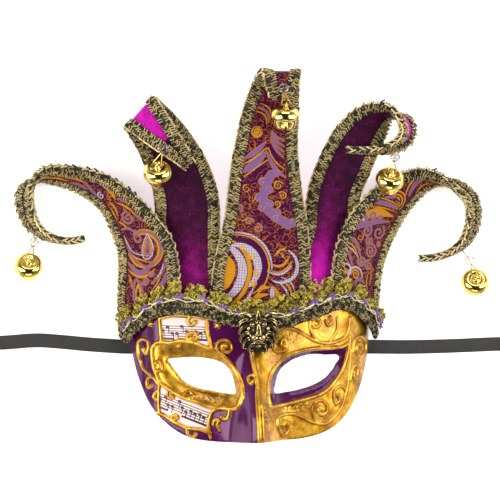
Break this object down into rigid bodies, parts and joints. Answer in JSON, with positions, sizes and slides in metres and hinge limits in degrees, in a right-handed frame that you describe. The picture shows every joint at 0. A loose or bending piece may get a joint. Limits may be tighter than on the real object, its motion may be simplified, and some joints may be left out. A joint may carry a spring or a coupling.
{
  "type": "venetian jester half mask",
  "caption": "Half mask with a two-tone gilded face, curled fabric jester horns tipped with bells, a lion boss at the brow and tying ribbons, lying on its back.",
  "frame": {"origin": "centre of the mask's footprint on the floor, ribbons left out", "axes": "+X to the right of the mask as seen from its front, +Y from the face towards the horn tips, +Z out of the face, up from the floor it lies on"},
  "size_m": [0.4946, 0.2578, 0.073],
  "materials": {
    "gilded": "papier-mache, gilded on one half and lacquered purple on the other",
    "brocade": "woven paisley brocade with a metallic weft",
    "velvet": "magenta velvet",
    "braid": "black and gold metallic gimp",
    "lace": "gold flower lace with purple buds",
    "bronze": "antiqued cast metal",
    "brass": "polished",
    "crystal": "clear faceted",
    "satin": "black satin"
  },
  "bodies": {
    "root": {"face": "gilded", "brow_gimp": "braid", "flower_lace": "lace", "lion_head": "bronze", "outer_left_horn": "brocade", "outer_left_horn_braid": "braid", "inner_left_horn": "velvet", "inner_left_horn_braid": "braid", "centre_horn": "brocade", "centre_horn_braid": "braid", "inner_right_horn": "velvet", "inner_right_horn_braid": "braid", "outer_right_horn": "brocade", "outer_right_horn_braid": "braid", "outer_left_bell": "brass", "outer_left_link": "brass", "outer_left_bead": "crystal", "inner_left_bell": "brass", "inner_left_link": "brass", "inner_left_bead": "crystal", "centre_bell": "brass", "centre_link": "brass", "centre_bead": "crystal", "inner_right_bell": "brass", "inner_right_link": "brass", "inner_right_bead": "crystal", "outer_right_bell": "brass", "outer_right_link": "brass", "outer_right_bead": "crystal", "left_ribbon": "satin", "right_ribbon": "satin", "left_ribbon_coil": "satin", "right_ribbon_coil": "satin"}
  },
  "joints": []
}
